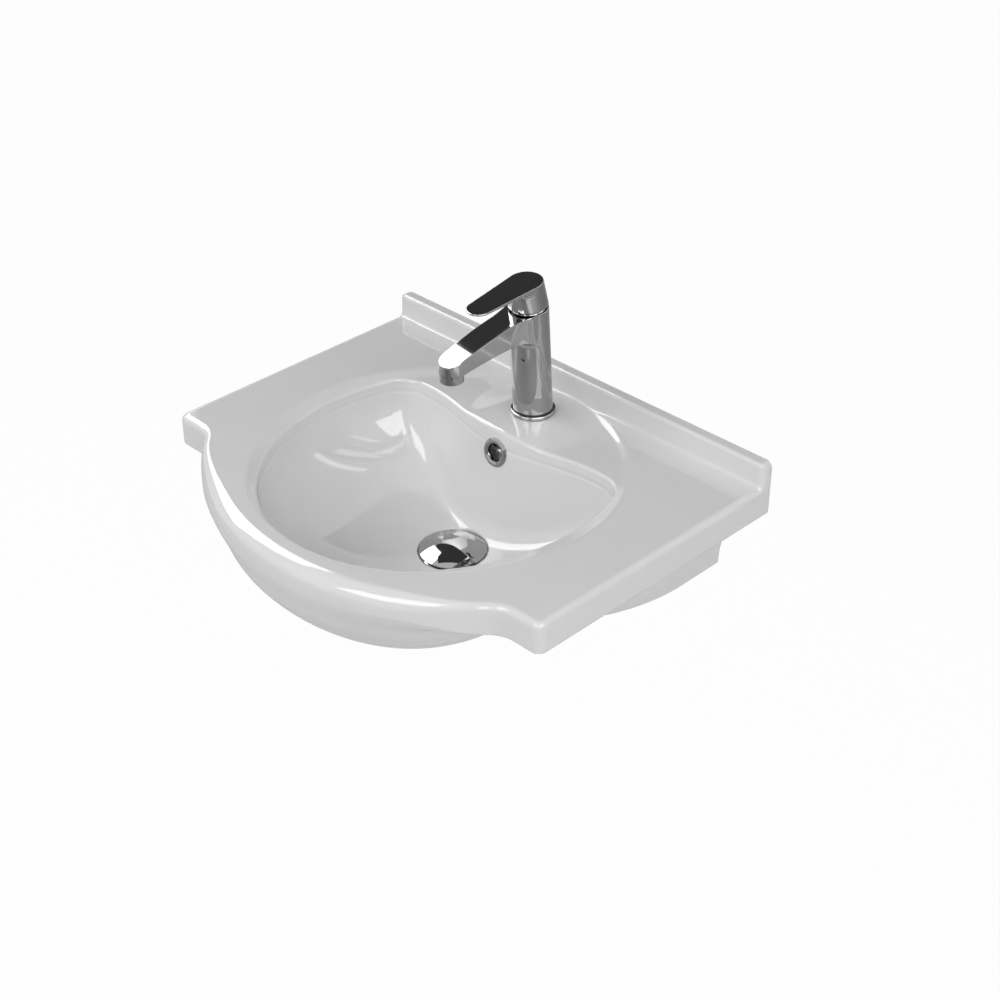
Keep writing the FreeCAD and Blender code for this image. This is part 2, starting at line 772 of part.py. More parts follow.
def waste_pieces():
    place = FreeCAD.Placement(point(0, -size("waste_back"), waste_seat()), FreeCAD.Rotation())
    under = "0 - boss_height"
    washer_top = under + " - lower_gasket_thick"
    washer_bottom = washer_top + " - slip_washer_thick"
    nut_bottom = washer_bottom + " - back_nut_height"
    relief = nut_bottom + " - relief_width"
    bridge_top = "0 - spigot_depth"
    bridge_bottom = "0 - spigot_depth - bridge_thick"
    hub_bottom = "0 - spigot_depth - hub_depth"
    clear = "tail_radius + fit_gap"

    ring("waste_upper_gasket", "waste_hole", "gasket_outer", "0", "gasket_thick", place)
    turned(
        "waste_flange",
        [
            ("spigot_bore", "0 - spigot_depth"),
            ("spigot_radius", "0 - spigot_depth"),
            ("spigot_radius", "gasket_thick"),
            ("flange_radius", "gasket_thick"),
            ("flange_radius", "gasket_thick + flange_lip"),
            ("flange_radius - flange_slope", "gasket_thick + flange_thick"),
            ("flange_throat", "gasket_thick + flange_thick"),
            ("spigot_bore", "gasket_thick"),
        ],
        place,
    )
    tube = turned(
        "waste_tube",
        [
            ("tail_bore", "0 - tail_length"),
            ("tail_radius", "0 - tail_length"),
            ("tail_radius", relief + " - relief_width"),
            ("tail_radius - relief_depth", relief + " - relief_width"),
            ("tail_radius - relief_depth", relief),
            ("tail_radius", relief),
            ("tail_radius", "gasket_thick - seal_gap"),
            ("spigot_radius + fit_gap", "gasket_thick - seal_gap"),
            ("spigot_radius + fit_gap", bridge_bottom),
            ("tail_bore", bridge_bottom),
        ],
        place,
    )
    slots = []
    for turn in (0, 90):
        at = aimed(place, 0, 0, -size("slot_top") - size("slot_height"), Z_AXIS, turn)
        at = shifted(at, -size("waste_hole"), -size("slot_width") / 2, 0)
        slots.append(
            primitive(
                "Part::Box",
                "waste_slot",
                at,
                Length="waste_hole + waste_hole",
                Width="slot_width",
                Height="slot_height",
            )
        )
    cut("waste_body", tube, slots)

    rim = ring("bridge_rim", "bridge_bore", "spigot_radius", bridge_bottom, bridge_top, place)
    hub = disc("bridge_hub", "hub_radius", hub_bottom, bridge_top, place)
    spokes = [rim, hub]
    for turn in (30, 150, 270):
        at = aimed(place, 0, 0, total(bridge_bottom), Z_AXIS, turn)
        at = shifted(at, 0, -size("bridge_rib") / 2, 0)
        spokes.append(
            primitive(
                "Part::Box",
                "bridge_rib_bar",
                at,
                Length="bridge_bore + fit_gap",
                Width="bridge_rib",
                Height="bridge_thick",
            )
        )
    spider = fuse("bridge_spider", spokes)
    bore = shifted(place, 0, 0, 2 * total(hub_bottom))
    hole = primitive(
        "Part::Cylinder",
        "bridge_hole",
        bore,
        Radius="click_radius + fit_gap",
        Height="hub_depth + hub_depth + spigot_depth + spigot_depth",
    )
    cut("waste_bridge", spider, [hole])

    ring("waste_lower_gasket", clear, "lower_gasket_outer", washer_top, under, place)
    ring("waste_slip_washer", clear, "slip_washer_outer", washer_bottom, washer_top, place)
    nut = shifted(place, 0, 0, total(nut_bottom))
    hex_nut("waste_back_nut", "back_nut_across", clear, "back_nut_height", nut)

    click_bottom = bridge_top + " - click_length"
    well = click_bottom + " + click_floor"
    collar_top = bridge_top + " + click_collar_thick"
    turned(
        "click_cartridge",
        [
            ("0", click_bottom),
            ("click_radius", click_bottom),
            ("click_radius", bridge_top),
            ("click_collar", bridge_top),
            ("click_collar", collar_top),
            ("stem_radius + fit_gap", collar_top),
            ("stem_radius + fit_gap", well),
            ("0", well),
        ],
        place,
    )
    stem_bottom = well + " + spring_length"
    ring("return_spring", "spring_inner", "spring_outer", well, stem_bottom, place)
    cap_under = "gasket_thick + flange_thick + cap_gap"
    disc("waste_stem", "stem_radius", stem_bottom, cap_under, place)
    ring(
        "cap_seal",
        "cap_seal_inner",
        "cap_seal_outer",
        "gasket_thick + flange_thick + seal_gap",
        cap_under,
        place,
    )
    waste_cap(place, cap_under)


def waste_cap(place, under):
    """A low dome over the flange."""
    rise = size("cap_rise") - size("cap_edge")
    sphere = (size("cap_radius") ** 2 + rise**2) / (2 * rise)
    dome = primitive(
        "Part::Sphere",
        "cap_dome",
        shifted(place, 0, 0, total(under + " + cap_rise") - sphere),
        Radius="( cap_radius ^ 2 + ( cap_rise - cap_edge ) ^ 2 ) / 2 / ( cap_rise - cap_edge )",
    )
    slug = disc("cap_slug", "cap_radius", under, under + " + cap_rise + cap_rise", place)
    cap = doc.addObject("Part::Common", "waste_cap")
    cap.Label = "waste_cap"
    cap.Base = slug
    cap.Tool = dome


def seat_place():
    """The middle of the tap's seat on the platform."""
    return FreeCAD.Placement(point(0, -size("tap_back"), size("platform_rise")), FreeCAD.Rotation())


def tap_place():
    """The point over the seat that the tap's heights are measured from."""
    return shifted(seat_place(), 0, 0, size("tap_datum"))


def lean_place():
    """The same point, with Z along the leaning axis of the tap."""
    return aimed(tap_place(), 0, 0, 0, X_AXIS, size("tap_lean"))


def on_axis(height):
    lean = math.radians(size("tap_lean"))
    return point(0, -height * math.sin(lean), height * math.cos(lean))


def tap_foot():
    """Level of the column's foot, on top of the base ring's seal."""
    stack = size("base_gasket_thick") + size("base_ring_height") + size("base_seal_height")
    return stack - size("tap_datum")


def nozzle_levels():
    """Levels where the nozzle's collar and neck end, and the ceiling of its socket."""
    collar = size("nozzle_bottom") + size("nozzle_collar")
    neck = collar + size("nozzle_sink")
    return collar, neck, neck + size("nozzle_washer_thick")


def spout_shape():
    """A flat blade: its side outline met by its plan, which flares into the column."""
    radius = size("tap_radius")
    root = size("spout_root")
    half = size("spout_half")
    top = on_axis(size("tap_top"))
    reach = -size("spout_reach")
    mid = -size("spout_mid")
    mid_top = top.z - size("spout_drop_mid")
    tip_top = top.z - size("spout_drop_tip")
    tip_low = tip_top - size("spout_deep_tip")
    root_low = top.z - size("spout_deep_root")
    side = [
        arc(point(-radius, top.y, top.z), point(-radius, mid, mid_top), point(-radius, reach, tip_top)),
        line(point(-radius, reach, tip_top), point(-radius, reach, tip_low)),
        arc(
            point(-radius, reach, tip_low),
            point(-radius, mid, mid_top - size("spout_deep_mid")),
            point(-radius, top.y, root_low),
        ),
        line(point(-radius, top.y, root_low), point(-radius, top.y, top.z)),
    ]
    blade = Part.Face(Part.Wire(side)).extrude(point(2 * radius, 0, 0))
    flare = -size("spout_flare")
    tip = size("spout_tip_round")
    tip_y = reach + tip
    ahead = point(0, flare - top.y, 0)
    edges = [line(point(-root, top.y), point(root, top.y))]
    for turn in (1, -1):
        curve = Part.BSplineCurve()
        ends = [point(turn * root, top.y), point(turn * half, flare)][::turn]
        slope = ahead * turn
        curve.interpolate(ends, InitialTangent=slope, FinalTangent=slope)
        straight = line(point(turn * half, flare), point(turn * tip, tip_y))
        edges += [curve.toShape(), straight][::turn]
        if turn == 1:
            edges.append(arc(point(tip, tip_y), point(0, reach), point(-tip, tip_y)))
    plan = Part.Face(Part.Wire(edges)).extrude(point(0, 0, 2 * top.z))
    return blade.common(plan)


def tap_body_shape():
    foot = tap_foot()
    lean = on_axis(1)
    top = size("tap_top")
    gap = size("fit_gap")
    column = Part.makeCylinder(size("tap_radius"), top + foot, on_axis(-foot), lean)
    floor = Part.makeBox(
        4 * size("tap_radius"),
        4 * size("tap_radius"),
        top,
        point(-2 * size("tap_radius"), -2 * size("tap_radius"), foot - top),
    )
    body = column.cut(floor).fuse(spout_shape())
    bore = size("cartridge_radius") + gap
    tools = [Part.makeCylinder(bore, top, on_axis(size("cartridge_bottom")), lean)]
    for side in (-1, 1):
        at = point(side * size("inlet_spread"), -size("inlet_forward"), foot)
        rise = size("cartridge_bottom") - foot
        tools.append(Part.makeCylinder(size("inlet_radius"), size("inlet_depth"), at))
        tools.append(Part.makeCylinder(size("waterway_radius"), rise, at, lean))
    stud = point(0, size("stud_offset"), foot)
    tools.append(Part.makeCylinder(size("stud_radius") + gap, size("stud_engaged"), stud))
    collar, neck, ceiling = nozzle_levels()
    reach = -size("nozzle_reach")
    tools.append(Part.makeCylinder(size("nozzle_radius") + gap, collar, point(0, reach, 0)))
    tools.append(Part.makeCylinder(size("nozzle_neck") + gap, ceiling, point(0, reach, 0)))
    start = on_axis(top) - point(0, 0, size("outlet_drop"))
    end = point(0, reach, neck)
    tools.append(Part.makeCylinder(size("outlet_radius"), (end - start).Length, start, end - start))
    plug = Part.makeCylinder(size("plug_radius") + gap, 2 * size("plug_depth"))
    plug.Placement = plug_place()
    tools.append(plug)
    for tool in tools:
        body = body.cut(tool)
    return body.removeSplitter().Solids[0]


def plug_place():
    """The blind end of the small hole beside the column's front, its Z pointing out."""
    axis = FreeCAD.Placement(on_axis(size("plug_height")), FreeCAD.Rotation(Z_AXIS, size("plug_turn")))
    return aimed(axis, 0, size("plug_depth") - size("tap_radius"), 0, X_AXIS, 90)


def tap_base_pieces():
    place = seat_place()
    ring_bottom = "base_gasket_thick"
    ring_top = ring_bottom + " + base_ring_height"
    ring("tap_base_gasket", "tap_hole", "base_gasket_radius", "0", ring_bottom, place)
    turned(
        "tap_base_ring",
        [
            ("tap_hole", ring_bottom),
            ("base_ring_radius", ring_bottom),
            ("base_ring_radius", ring_top + " - base_ring_round", "base_ring_round"),
            ("base_ring_radius - base_ring_round", ring_top),
            ("tap_hole", ring_top),
        ],
        place,
    )
    ring("tap_base_seal", "tap_hole", "base_seal_radius", ring_top, ring_top + " + base_seal_height", place)
    solid_piece("tap_body", tap_body_shape(), tap_place())
    disc("column_plug", "plug_radius", "0", "plug_depth - plug_sink", tap_place().multiply(plug_place()))


def nozzle_pieces():
    place = shifted(tap_place(), 0, -size("nozzle_reach"), 0)
    collar = "nozzle_bottom + nozzle_collar"
    neck = collar + " + nozzle_sink"
    shelf = "nozzle_bottom + nozzle_lip_thick"
    turned(
        "aerator_housing",
        [
            ("nozzle_lip", "nozzle_bottom"),
            ("nozzle_radius", "nozzle_bottom"),
            ("nozzle_radius", collar),
            ("nozzle_neck", collar),
            ("nozzle_neck", neck),
            ("nozzle_bore", neck),
            ("nozzle_bore", shelf),
            ("nozzle_lip", shelf),
        ],
        place,
    )
    disc("aerator_insert", "nozzle_bore - fit_gap", shelf, shelf + " + insert_height", place)
    ring("aerator_washer", "nozzle_lip", "nozzle_neck", neck, neck + " + nozzle_washer_thick", place)


def cartridge_pieces():
    place = lean_place()
    base_top = "cartridge_bottom + cartridge_base_thick"
    disc_top = base_top + " + disc_thick"
    slide_top = disc_top + " + disc_thick"
    holder_top = slide_top + " + holder_thick"
    inside = "cartridge_radius - cartridge_wall"
    neck_inside = "neck_radius - neck_wall"
    shoulder_under = "cartridge_shoulder - shoulder_thick"

    ports = []
    for side in (-1, 1):
        at = shifted(place, side * size("inlet_spread"), -size("inlet_forward"), 0)
        ports.append(
            primitive("Part::Cylinder", "port", at, Radius="waterway_radius", Height=disc_top)
        )
    base = disc("cartridge_foot", "cartridge_radius", "cartridge_bottom", base_top, place)
    cut("cartridge_base", base, ports)
    plate = disc("disc_plate", "disc_radius", base_top, disc_top, place)
    cut("fixed_disc", plate, ports)
    disc("moving_disc", "slide_radius", disc_top, slide_top, place)
    socket = holder_top + " - holder_socket"
    turned(
        "disc_holder",
        [
            ("0", slide_top),
            ("slide_radius", slide_top),
            ("slide_radius", holder_top),
            ("stem_tip_radius + running_gap + running_gap", holder_top),
            ("stem_tip_radius + running_gap + running_gap", socket),
            ("0", socket),
        ],
        place,
    )
    barrel = turned(
        "cartridge_barrel",
        [
            (inside, base_top),
            ("cartridge_radius", base_top),
            ("cartridge_radius", "cartridge_shoulder"),
            ("neck_radius", "cartridge_shoulder"),
            ("neck_radius", "neck_top"),
            (neck_inside, "neck_top"),
            (neck_inside, shoulder_under),
            (inside, shoulder_under),
        ],
        place,
    )
    window_height = total(shoulder_under) - size("outlet_radius") * 2
    window = primitive(
        "Part::Box",
        "outlet_window",
        shifted(place, -size("outlet_radius"), -size("tap_radius"), window_height),
        Length="outlet_radius + outlet_radius",
        Width="tap_radius - slide_radius",
        Height="outlet_radius + outlet_radius",
    )
    cut("cartridge_housing", barrel, [window])

    foot = holder_top + " + carrier_foot"
    flange_top = shoulder_under + " - running_gap"
    flange_bottom = flange_top + " - carrier_flange_thick"
    spool = turned(
        "carrier_spool",
        [
            ("0", foot),
            (neck_inside + " - running_gap", foot),
            (neck_inside + " - running_gap", flange_bottom),
            ("carrier_flange", flange_bottom),
            ("carrier_flange", flange_top),
            (neck_inside + " - running_gap", flange_top),
            (neck_inside + " - running_gap", "carrier_top"),
            ("0", "carrier_top"),
        ],
        place,
    )
    slot = primitive(
        "Part::Box",
        "carrier_window",
        shifted(place, -size("stem_side") / 2 - size("fit_gap"), -size("carrier_slot") / 2, 0),
        Length="stem_side + fit_gap + fit_gap",
        Width="carrier_slot",
        Height="carrier_top + carrier_top",
    )
    cross = aimed(place, -size("cartridge_radius"), 0, size("pivot_height"), Y_AXIS, 90)
    pin_hole = primitive(
        "Part::Cylinder",
        "carrier_pin_hole",
        cross,
        Radius="pin_radius + pin_fit",
        Height="cartridge_radius + cartridge_radius",
    )
    cut("cartridge_carrier", spool, [slot, pin_hole])
    pin = aimed(place, -size("pin_half"), 0, size("pivot_height"), Y_AXIS, 90)
    primitive("Part::Cylinder", "stem_pin", pin, Radius="pin_radius", Height="pin_half + pin_half")

    half = size("stem_side") / 2
    bar = primitive(
        "Part::Box",
        "stem_bar",
        shifted(place, -half, -half, size("stem_tip_top")),
        Length="stem_side",
        Width="stem_side",
        Height="stem_top - stem_tip_top",
    )
    tip = primitive(
        "Part::Cylinder",
        "stem_tip",
        shifted(place, 0, 0, size("stem_tip_bottom")),
        Radius="stem_tip_radius",
        Height="stem_tip_top - stem_tip_bottom",
    )
    stem_hole = primitive(
        "Part::Cylinder",
        "stem_pin_hole",
        cross,
        Radius="pin_radius + pin_fit",
        Height="cartridge_radius + cartridge_radius",
    )
    cut("cartridge_stem", fuse("stem_blank", [bar, tip]), [stem_hole])

    nut_top = "cartridge_shoulder + cartridge_nut_thick"
    clear = "neck_radius + running_gap"
    ring("cartridge_nut", clear, "cartridge_radius", "cartridge_shoulder", nut_top, place)
    turned(
        "cover_ring",
        [
            (clear, nut_top),
            ("cartridge_radius", nut_top),
            ("cartridge_radius", nut_top + " + cover_rim"),
            ("cartridge_radius - cover_slope", nut_top + " + cover_shoulder"),
            (clear, nut_top + " + cover_crown"),
        ],
        place,
    )


def lever_outline(z):
    """A teardrop in plan: round over the column, drawn out to a smaller round tip."""
    radius = size("handle_top_radius")
    centre = -size("handle_forward")
    tip = size("lever_tip_round")
    tip_y = tip - size("lever_reach")
    lean = math.asin((radius - tip) / (centre - tip_y))
    big = point(radius * math.cos(lean), centre - radius * math.sin(lean), z)
    small = point(tip * math.cos(lean), tip_y - tip * math.sin(lean), z)

    def mirrored(p):
        return point(-p.x, p.y, p.z)

    return Part.Wire(
        [
            arc(big, point(0, centre + radius, z), mirrored(big)),
            line(mirrored(big), mirrored(small)),
            arc(mirrored(small), point(0, tip_y - tip, z), small),
            line(small, big),
        ]
    )


def side_wedge(corners):
    """A slab across the handle with the given (y, z) corners."""
    wide = 2 * size("handle_radius")
    outline = [point(-wide, y, z) for y, z in corners]
    return Part.Face(Part.makePolygon(outline + outline[:1])).extrude(point(2 * wide, 0, 0))


def handle_bottom():
    return size("tap_top") + size("handle_gap")


def skirt_circle(z):
    """Radius and middle of the handle's skirt, which narrows and leans forward as it rises."""
    share = (z - handle_bottom()) / (size("handle_top") - handle_bottom())
    radius = size("handle_radius") + (size("handle_top_radius") - size("handle_radius")) * share
    return radius, -size("handle_forward") * share


def skirt_shape(inset, top):
    wires = []
    for z in (handle_bottom(), top):
        radius, middle = skirt_circle(z)
        circle = Part.Circle(point(0, middle, z), Z_AXIS, radius - inset)
        wires.append(Part.Wire([circle.toShape()]))
    return Part.makeLoft(wires, True, True)


def handle_shape():
    radius = size("handle_radius")
    bottom = handle_bottom()
    top = size("handle_top")
    reach = size("lever_reach")
    tilt = math.tan(math.radians(size("handle_tilt")))
    roof = size("handle_roof")
    root = size("lever_root_thick")
    far = 2 * reach

    def crest(y):
        return top + y * tilt

    skirt = skirt_shape(0, crest(radius))
    above = side_wedge([(far, crest(far)), (-far, crest(-far)), (-far, 2 * top), (far, 2 * top)])
    blade = Part.Face(lever_outline(roof)).extrude(point(0, 0, top))
    plate = side_wedge(
        [
            (far, crest(far)),
            (-reach, crest(-reach)),
            (-reach, crest(-reach) - size("lever_tip_thick")),
            (-radius, crest(-radius) - root),
            (far, crest(far) - root),
        ]
    )
    body = skirt.cut(above).fuse(blade.common(plate))
    hollow = Part.makeCylinder(size("handle_bore"), roof - bottom, point(0, 0, bottom))
    boss_low = size("handle_boss_bottom")
    boss = Part.makeCylinder(size("handle_boss"), roof - boss_low, point(0, 0, boss_low))
    # behind the axis the skirt is thinned to a lip, which passes outside the column as the lever lifts
    rise = 2 * radius * math.tan(math.radians(size("handle_relief")))
    relief = side_wedge([(0, bottom), (0, 0), (2 * radius, 0), (2 * radius, bottom + rise)])
    body = body.cut(hollow).cut(relief.common(skirt_shape(size("handle_lip"), top))).fuse(boss)
    side = size("stem_side") + 2 * size("fit_gap")
    socket = Part.makeBox(
        side, side, size("stem_top") + size("fit_gap") - boss_low, point(-side / 2, -side / 2, boss_low)
    )
    screw = Part.makeCylinder(
        size("grub_radius") + size("fit_gap"), 2 * radius, point(0, 0, size("grub_height")), Y_AXIS
    )
    for tool in (socket, screw):
        body = body.cut(tool)
    return body.removeSplitter().Solids[0]


def handle_pieces():
    place = lean_place()
    solid_piece("lever_handle", handle_shape(), place)
    height = size("grub_height")
    grub = aimed(place, 0, size("stem_side") / 2, height, X_AXIS, -90)
    disc("handle_grub_screw", "grub_radius", "0", "grub_length", grub)
    radius, middle = skirt_circle(height)
    seat = middle + radius - size("index_sink") - size("index_depth")
    index = aimed(place, 0, seat, height, X_AXIS, -90)
    disc("index_plug", "grub_radius", "0", "index_depth", index)


def fixing_pieces():
    place = seat_place()
    deck = "0 - platform_rise - deck_under"
    gasket_bottom = deck + " - horseshoe_gasket_thick"
    washer_bottom = gasket_bottom + " - horseshoe_washer_thick"
    stud = shifted(place, 0, size("stud_offset"), 0)

    def horseshoe(label, bottom, top):
        blank = disc(label + "_blank", "horseshoe_radius", bottom, top, place)
        reach = 2 * size("horseshoe_radius")
        low = total(washer_bottom + " - cut_over")
        through = "horseshoe_gasket_thick + horseshoe_washer_thick + cut_over + cut_over"
        gate = primitive(
            "Part::Box",
            label + "_gate",
            shifted(place, -size("horseshoe_slot"), size("horseshoe_back") - reach, low),
            Length="horseshoe_slot + horseshoe_slot",
            Width="horseshoe_radius + horseshoe_radius",
            Height=through,
        )
        hole = primitive(
            "Part::Cylinder",
            label + "_hole",
            shifted(stud, 0, 0, low),
            Radius="stud_radius + running_gap",
            Height=through,
        )
        cut(label, blank, [gate, hole])

    horseshoe("horseshoe_gasket", gasket_bottom, deck)
    horseshoe("horseshoe_washer", washer_bottom, gasket_bottom)
    top = size("tap_datum") + tap_foot() + size("stud_engaged")
    rod = shifted(stud, 0, 0, top - size("stud_length"))
    primitive("Part::Cylinder", "mounting_stud", rod, Radius="stud_radius", Height="stud_length")
    nut = shifted(stud, 0, 0, total(washer_bottom + " - fixing_nut_height"))
    hex_nut("fixing_nut", "fixing_nut_across", "stud_radius + fit_gap", "fixing_nut_height", nut)


PIECES = [
    "basin_body",
    "overflow_ring",
    "waste_upper_gasket",
    "waste_flange",
    "waste_body",
    "waste_bridge",
    "waste_lower_gasket",
    "waste_slip_washer",
    "waste_back_nut",
    "click_cartridge",
    "return_spring",
    "waste_stem",
    "cap_seal",
    "waste_cap",
    "tap_base_gasket",
    "tap_base_ring",
    "tap_base_seal",
    "tap_body",
    "column_plug",
    "aerator_housing",
    "aerator_insert",
    "aerator_washer",
    "cartridge_base",
    "fixed_disc",
    "moving_disc",
    "disc_holder",
    "cartridge_housing",
    "cartridge_carrier",
    "stem_pin",
    "cartridge_stem",
    "cartridge_nut",
    "cover_ring",
    "lever_handle",
    "handle_grub_screw",
    "index_plug",
    "horseshoe_gasket",
    "horseshoe_washer",
    "mounting_stud",
    "fixing_nut",
]

solid_piece("basin_body", basin_shape(), STILL)
overflow_pieces()
waste_pieces()
tap_base_pieces()
nozzle_pieces()
cartridge_pieces()
handle_pieces()
fixing_pieces()
doc.recompute()

# Every object has to be sound before anything is written
for item in doc.Objects:
    if "Invalid" in item.State or "Error" in item.State:
        raise RuntimeError("%s did not rebuild" % item.Label)
os.makedirs("parts", exist_ok=True)
finished = {}
for label in PIECES:
    shape = doc.getObjectsByLabel(label)[0].Shape
    if shape.isNull() or not shape.isValid() or len(shape.Solids) != 1:
        raise RuntimeError("%s is not one sound solid" % label)
    finished[label] = shape
for label, shape in finished.items():
    shape.exportStep(os.path.join("parts", label + ".step"))
print("%d pieces written" % len(finished))
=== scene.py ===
import json
import math

import bpy
import numpy as np
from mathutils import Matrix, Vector


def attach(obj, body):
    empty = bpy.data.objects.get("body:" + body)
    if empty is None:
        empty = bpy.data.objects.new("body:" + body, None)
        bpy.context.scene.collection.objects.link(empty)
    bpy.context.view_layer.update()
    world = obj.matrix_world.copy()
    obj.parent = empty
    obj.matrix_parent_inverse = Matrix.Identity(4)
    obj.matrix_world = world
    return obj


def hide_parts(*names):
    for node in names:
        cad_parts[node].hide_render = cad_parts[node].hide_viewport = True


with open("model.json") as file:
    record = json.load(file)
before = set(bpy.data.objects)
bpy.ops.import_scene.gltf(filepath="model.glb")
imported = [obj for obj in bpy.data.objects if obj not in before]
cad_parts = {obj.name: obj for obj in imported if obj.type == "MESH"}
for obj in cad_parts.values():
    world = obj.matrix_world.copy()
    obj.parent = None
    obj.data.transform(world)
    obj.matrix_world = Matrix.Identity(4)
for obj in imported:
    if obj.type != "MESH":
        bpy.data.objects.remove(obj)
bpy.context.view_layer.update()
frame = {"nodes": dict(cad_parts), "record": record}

MM = 0.001


# Fields: negative inside a shape, positive outside, about a distance in millimetres near its surface


def smooth(start, end, value):
    """0 before start and 1 after end, with an even ramp between."""
    share = np.clip((value - start) / (end - start), 0.0, 1.0)
    return share * share * (3 - 2 * share)


def between(ends, share):
    """The value that lies a share of the way from the first end to the second."""
    return ends[0] + (ends[1] - ends[0]) * share


def join(a, b, radius):
    """Both shapes together, with a hollow fillet where they meet."""
    u = np.maximum(radius - a, 0)
    v = np.maximum(radius - b, 0)
    return np.maximum(radius, np.minimum(a, b)) - np.hypot(u, v)


def meet(a, b, radius):
    """Where both shapes are, with the edge between them rounded."""
    u = np.maximum(radius + a, 0)
    v = np.maximum(radius + b, 0)
    return np.minimum(-radius, np.maximum(a, b)) + np.hypot(u, v)


def cut(a, b, radius):
    return meet(a, -b, radius)


def oval(x, y, half_x, half_y):
    level = np.hypot(x / half_x, y / half_y)
    slope = np.hypot(x / half_x**2, y / half_y**2)
    return level * (level - 1) / np.maximum(slope, 1e-6)


def block(x, y, z, low, high):
    """A box with its lowest and highest corner."""
    sides = [np.maximum(a - v, v - b) for v, a, b in zip((x, y, z), low, high)]
    return np.maximum(np.maximum(sides[0], sides[1]), sides[2])


def circle_through(a, b, c):
    """Middle and radius of the circle through three points of a plane."""
    rows = np.array([[b[0] - a[0], b[1] - a[1]], [c[0] - a[0], c[1] - a[1]]])
    sums = [(p[0] ** 2 + p[1] ** 2 - a[0] ** 2 - a[1] ** 2) / 2 for p in (b, c)]
    middle = np.linalg.solve(rows, np.array(sums))
    return middle, math.dist(middle, a)


# Ceramic basin

SLAB_HALF = 250.0
SLAB_FRONT = 314.2
SLAB_THICK = 33.0
SLAB_ROUND = 7.0
TOP_ROUND = (SLAB_ROUND, 17.0)
LIP_ROUND = (3.0, 14.0)
ROUND_GROWS = (-325.0, -375.0)
CORNER = 10.0
BOW_REACH = 406.2
COVE = 30.0
COVE_X = SLAB_HALF - 31.3
COVE_Y = -SLAB_FRONT - COVE
BOW_AHEAD = BOW_REACH + COVE_Y
BOW = (BOW_AHEAD**2 + COVE_X**2 - COVE**2) / (2 * (BOW_AHEAD + COVE))
BOW_Y = BOW - BOW_REACH
BOWL_Y = -185.0
RIM = (166.0, 188.0)
DISH = (186.0, 195.0)
BOWL_DEPTH = 108.0
RIM_DROP = 4.0
FLOOR = -RIM_DROP - BOWL_DEPTH
WALL_TILT = math.radians(12.0)
WALL_SLOPE = math.tan(WALL_TILT)
WALL_ROUND = 16.0
WAVE_BACK = 102.1
WAVE_SWING = 9.0
WAVE_HALF = 115.0
RECESS = (165.0, 178.0)
PLATFORM = 3.6
MOUND = (26.0, 86.0)
MOUND_FALL = 10.0
MOUND_BLEND = 0.8
UPSTAND_FOOT = 13.2
UPSTAND_COVE = 3.5
UPSTAND_TOP = 25.0
UPSTAND_ROUND = 4.0
UPSTAND_LEAN = 0.5
CERAMIC = 12.0
DECK = -16.0
SKIRT_BOTTOM = -117.0
SKIRT_HALF = 202.7
SKIRT_TAPER = 6.4
SKIRT_SIDE = (225.0, 54.3)
SKIRT_FRONT = (389.0, 253.3)
BELLY_Y = -264.7
BELLY_HALF = 181.5
BELLY_REACH = BOW_REACH - 0.3 + BELLY_Y
BELLY_TOP = 2.0 - SLAB_THICK
BELLY_DEPTH = 108.0
BELLY_POWER = 1.67
WASTE_Y = -176.0
WASTE_HOLE = 23.0
WASTE_RECESS = 35.0
BOSS = 36.0
SEAT = FLOOR - 3.0
BOSS_BOTTOM = SEAT - 27.0
DUCT_Y = -101.0
DUCT_OUTSIDE = (15.0, 10.0)
DUCT_INSIDE = (9.0, 4.0)
DRAIN_LOW = BOSS_BOTTOM + 6.0
DRAIN_HIGH = BOSS_BOTTOM + 14.0
TAP_Y = -63.2
TAP_HOLE = 17.5
OVERFLOW_Z = -22.6
OVERFLOW_HOLE = 12.0
FIXING_X = 140.0
FIXING_Z = -75.0
FIXING_HOLE = 7.0


def slab_plan(x, y):
    """The slab's outline: a rectangle with a bow in front, joined by coves."""
    side = np.abs(x)
    over_x = side - SLAB_HALF + CORNER
    over_y = -y - SLAB_FRONT + CORNER
    corner = np.hypot(np.maximum(over_x, 0), np.maximum(over_y, 0)) - CORNER
    square = np.minimum(np.maximum(over_x, over_y), 0) + corner
    bow = np.hypot(x, y - BOW_Y) - BOW
    plan = np.where(y < 3 * SLAB_ROUND - SLAB_FRONT, np.minimum(square, bow), square)
    from_cove = np.hypot(side - COVE_X, y - COVE_Y)
    beside = (side - COVE_X) * (BOW_Y - COVE_Y) + (y - COVE_Y) * COVE_X > 0
    in_cove = (side < COVE_X) & beside & (from_cove < 2 * COVE)
    return np.maximum(np.where(in_cove, COVE - from_cove, plan), -2.5 * SLAB_ROUND)


def deck_height(x, y):
    """Height of the top: flat slab, soft slope to rim and recess, and mound under the tap."""
    forward = y - BOWL_Y
    behind = forward > 0
    inner = np.hypot(x / RIM[0], forward / np.where(behind, RECESS[0], RIM[1]))
    outer = np.hypot(x / DISH[0], forward / np.where(behind, RECESS[1], DISH[1]))
    share = np.clip((1 - outer) / np.maximum(inner - outer, 1e-6), 0, 1)
    slab = -RIM_DROP * share**2 * (3 - 2 * share)
    higher = PLATFORM - MOUND_FALL * smooth(*MOUND, np.hypot(x, y - TAP_Y)) - slab
    return slab + (higher + np.sqrt(higher**2 + MOUND_BLEND)) / 2


def upstand(y, z):
    """The low wall along the back, whose face leans back a little."""
    rise = UPSTAND_TOP - UPSTAND_COVE
    face = -(y + UPSTAND_FOOT) * rise + (z - UPSTAND_COVE) * UPSTAND_LEAN
    return meet(face / math.hypot(rise, UPSTAND_LEAN), z - UPSTAND_TOP, UPSTAND_ROUND)


